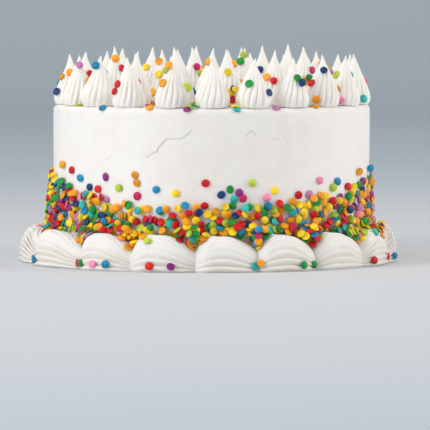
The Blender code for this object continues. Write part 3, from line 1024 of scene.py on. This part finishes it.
# %% Sprinkles over the top
# Those between the peaks of the rim: how far round, how far from the axis, and the colour
RIM_SINGLES = (
    (-60.7, 105, "yellow"), (-42.4, 107, "blue"), (-22.6, 106, "orange"), (-22.2, 104, "yellow"),
    (-8.6, 107, "purple"), (-7.7, 105, "lime"), (-6.2, 105, "green"), (8.9, 107, "teal"),
    (8.5, 105, "yellow"), (23.9, 106, "lilac"), (27.1, 106, "orange"), (22.3, 103, "yellow"),
    (38.8, 105, "red"), (41.2, 105, "orange"), (55.3, 104, "pink"), (69.8, 104, "red"),
)
# The others that can be told apart in front: how far right, how far back and how high, and the colour
PEAK_SINGLES = (
    (-41, -72, 107, "red"), (-42, -2, 110, "yellow"), (-40, -4, 115, "orange"), (-17, -69, 120, "yellow"),
    (-12, -65, 107, "green"), (-16, -67, 108, "lime"), (-13, -32, 117, "orange"), (-15, -70, 115, "pink"),
    (13, -76, 117, "yellow"), (19, -40, 121, "orange"), (14, -76, 112, "red"), (15, -74, 118, "navy"),
    (16, -72, 107, "yellow"), (38, -98, 117, "navy"), (40, -62, 111, "yellow"), (43, -62, 110, "green"),
    (65, -69, 117, "lime"), (64, -32, 123, "orange"), (66, -31, 125, "green"), (67, -61, 107, "red"),
    (70, -73, 108, "orange"), (-64, -83, 117, "red"), (-62, -83, 122, "red"), (-61, -15, 132, "red"),
    (-36, 3, 136, "orange"), (-36, -1, 127, "yellow"), (-30, -96, 132, "lime"), (-28, -96, 135, "orange"),
    (-32, -98, 123, "orange"), (-6, 62, 129, "orange"), (-8, 27, 127, "lime"), (-2, -3, 136, "orange"),
    (11, -71, 130, "yellow"), (15, -35, 135, "orange"), (22, 25, 140, "lime"), (20, 24, 135, "green"),
    (25, -101, 123, "green"), (37, -56, 126, "orange"), (33, -10, 130, "navy"), (57, -87, 126, "green"),
    (60, -86, 123, "navy"), (68, -25, 130, "magenta"), (-89, -40, 134, "lilac"), (-92, -50, 107, "yellow"),
    (-105, -15, 107, "navy"), (-77, -63, 134, "blue"), (87, -52, 110, "pink"), (99, -46, 109, "red"),
    (103, -23, 108, "teal"), (75, -68, 131, "navy"),
)
PEAK_APPROACH, GAP_APPROACH, PEAK_FROM = (0.0, 0.95, -0.3), (0.0, 0.45, -0.9), CAKE_TOP + 0.004
DOWN = (0, 0, -1)
TOP_TRIES, TOP_SPREAD, TOP_EDGE = 560, 0.42, 0.003
FRONT_ROW = -0.062

for degrees, radius, colour in RIM_SINGLES:
    target = around(math.radians(degrees), radius / 1000, CAKE_TOP)
    lay(target, DOWN, steepest=1.0, tip=0.05, colour=colour, touching=3)
for right, back, height, colour in PEAK_SINGLES:
    target = (right / 1000, back / 1000, height / 1000)
    heading = PEAK_APPROACH if target[2] > PEAK_FROM else GAP_APPROACH
    lay(target, heading, steepest=1.2, tip=0.08, colour=colour, touching=3)
for _ in range(TOP_TRIES):
    angle = draw.uniform(-math.pi, math.pi)
    target = around(angle, (CAKE_RADIUS - TOP_EDGE) * draw.random() ** TOP_SPREAD, CAKE_TOP + 0.01)
    if target.y > FRONT_ROW:
        lay(target, DOWN, steepest=2.2, tip=0.08, touching=7)
print("with the top:", len(sprinkles))

# %% [markdown]
# ## What the sprinkles are made of
#
# They are pressed sugar: an even strong colour, a dull shine and a faint grain, a little different from
# disc to disc. One node group holds that difference and the grain, so the twelve colours share it. The
# tone changes more slowly over space than a disc is wide, so each disc takes about one tone.

# %% The candy materials
BLOTCH_SCALE, SPECK_SCALE = 130.0, 2600.0
CANDY_SPREAD, CANDY_RELIEF = 0.28, 0.00008
CANDY_ROUGHNESS, CANDY_SHINE = (0.3, 0.5), 0.25
candy_grain, candy_in, candy_out = new_group("Candy grain", (("Spread", 0.25),), ("Value", "Height"))
spot = object_place(candy_grain)
blotch = noise_texture(candy_grain, spot, BLOTCH_SCALE, 1.0)["Fac"]
speck = noise_texture(candy_grain, spot, SPECK_SCALE, 2.0)["Fac"]
low, high = (maths(candy_grain, kind, 1.0, candy_in.outputs["Spread"]) for kind in ("SUBTRACT", "ADD"))
set_inputs(candy_out, {"Value": map_range(candy_grain, blotch, low, high, 0.3, 0.7), "Height": speck})


def candy_material(name, colour):
    material, tree, shader = new_material(f"candy_{name}")
    grain = add_node(tree, "ShaderNodeGroup", {"Spread": CANDY_SPREAD}, node_tree=candy_grain).outputs
    set_inputs(shader, {
        "Base Color": brighten(tree, (*colour, 1.0), grain["Value"]),
        "Roughness": map_range(tree, grain["Height"], *CANDY_ROUGHNESS),
        "Normal": relief_normal(tree, grain["Height"], CANDY_RELIEF),
        "Specular IOR Level": CANDY_SHINE,
    })
    return material


# %% [markdown]
# ## Joining the sprinkles
#
# A piece for each of so many discs would be slow to draw and to export. All the discs of one colour become
# one mesh: the pattern's points are copied, turned to the way each disc faces, and moved to its place.

# %% Joining the sprinkles
SHARP_FROM = math.radians(50)


def disc_points(centre, normal, turn, size):
    facing = Vector(normal).to_track_quat("Z", "Y").to_matrix() @ Matrix.Rotation(turn, 3, "Z")
    return (DISC_POINTS * size) @ np.array(facing).T + centre


def sprinkle_piece(colour):
    """One piece with all the discs of a colour."""
    points, faces = [], []
    for centre, normal, turn, size, name in sprinkles:
        if name == colour:
            shift = len(points) * len(DISC_POINTS)
            faces.extend([index + shift for index in face] for face in DISC_FACES)
            points.append(disc_points(centre, normal, turn, size))
    mesh = bpy.data.meshes.new(f"sprinkles_{colour}")
    mesh.from_pydata(np.concatenate(points).tolist(), [], faces)
    mesh.shade_smooth()
    mesh.set_sharp_from_angle(angle=SHARP_FROM)
    piece = add_object(mesh.name, mesh)
    piece.data.materials.append(candy_material(colour, CANDY[colour][1]))
    return piece


sprinkle_pieces = [sprinkle_piece(colour) for colour in CANDY]
print("sprinkles:", {piece.name: len(piece.data.polygons) for piece in sprinkle_pieces})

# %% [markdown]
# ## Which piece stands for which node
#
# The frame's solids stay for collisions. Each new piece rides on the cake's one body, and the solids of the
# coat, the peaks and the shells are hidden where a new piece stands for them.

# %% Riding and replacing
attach(coat, "root")
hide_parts("frosted_cake")
for name, piece in [*piped_peaks.items(), *piped_shells.items()]:
    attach(piece, "root")
    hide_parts(name)
for piece in sprinkle_pieces:
    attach(piece, "root")

# %% [markdown]
# ## The studio
#
# The cake stands on a plain pale floor that runs far back and turns up into a wall without an edge, which
# photographers call a sweep. It is a plane whose far edge is extruded along a quarter circle, then straight
# up. The paper is pale round the cake, so that it throws light back up at the white icing, and blends into
# blue-grey with the distance. Large soft lights stand where the photo's light comes from: a broad one at the
# left in front, a weaker one at the right, and a soft sky that keeps every shadow on the icing pale.

# %% The sweep
SWEEP_HALF = 3.5
SWEEP_TURNS_AT = 3.2
SWEEP_RADIUS = 0.9
SWEEP_STEPS = 16
SWEEP_RISE = 2.0
PALE_UP_TO, BLUE_GREY_FROM = 0.35, 1.3
PALE_PAPER, BLUE_GREY_PAPER = (0.66, 0.685, 0.71, 1.0), (0.56, 0.63, 0.69, 1.0)
PAPER_MOTTLE = (0.97, 1.03)

start_fresh()
bpy.ops.mesh.primitive_plane_add(size=2 * SWEEP_HALF, location=(0, SWEEP_TURNS_AT - SWEEP_HALF, 0))
backdrop = open_in_edit_mode("backdrop")
pick(backdrop, lambda vert: vert.co.y > SWEEP_TURNS_AT - TINY)
for step in range(SWEEP_STEPS):
    before, after = (math.pi / 2 * number / SWEEP_STEPS for number in (step, step + 1))
    along = SWEEP_RADIUS * (math.sin(after) - math.sin(before))
    rise = SWEEP_RADIUS * (math.cos(before) - math.cos(after))
    extrude(0, along, rise)
extrude(0, 0, SWEEP_RISE)
bpy.ops.object.mode_set(mode="OBJECT")
bpy.ops.object.shade_smooth()

paper, tree, shader = new_material("blue_grey_paper")
spot = object_place(tree)
off_middle = vector_maths(tree, "LENGTH", spot)
distance = map_range(tree, off_middle, 0.0, 1.0, PALE_UP_TO, BLUE_GREY_FROM, interpolation_type="SMOOTHSTEP")
tone = add_node(tree, "ShaderNodeValToRGB", {"Fac": distance})
tone.color_ramp.elements[0].color = PALE_PAPER
tone.color_ramp.elements[1].color = BLUE_GREY_PAPER
cloud = noise_texture(tree, spot, 1.2, 2.0)["Fac"]
mottled = brighten(tree, tone.outputs["Color"], map_range(tree, cloud, *PAPER_MOTTLE))
set_inputs(shader, {"Base Color": mottled, "Roughness": 0.8, "Specular IOR Level": 0.1})
backdrop.data.materials.append(paper)

# %% Lights
LIGHTS_LOOK_AT = Vector((0, 0, 0.06))
SKY = {"Color": (0.975, 0.965, 0.96, 1.0), "Strength": 0.60}


def soft_light(name, place, size, watts, colour=(1.0, 1.0, 1.0)):
    """A square area light that looks at the middle of the cake."""
    data = bpy.data.lights.new(name, "AREA")
    data.size, data.energy, data.color = size, watts, colour
    lamp = add_object(name, data)
    lamp.location = place
    lamp.rotation_euler = (LIGHTS_LOOK_AT - lamp.location).to_track_quat("-Z", "Y").to_euler()


soft_light("key", (-1.9, -1.3, 1.0), 1.2, 26.0)
soft_light("fill", (2.0, -0.2, 0.7), 1.0, 16.0, (1.0, 0.965, 0.93))
soft_light("top", (-0.3, -0.2, 1.8), 0.9, 5.0)
world = bpy.data.worlds.new("studio")
bpy.context.scene.world = world
world.use_nodes = True
set_inputs(world.node_tree.nodes["Background"], SKY)
bpy.context.scene.view_settings.view_transform = "Standard"
bpy.context.scene.view_settings.look = "None"
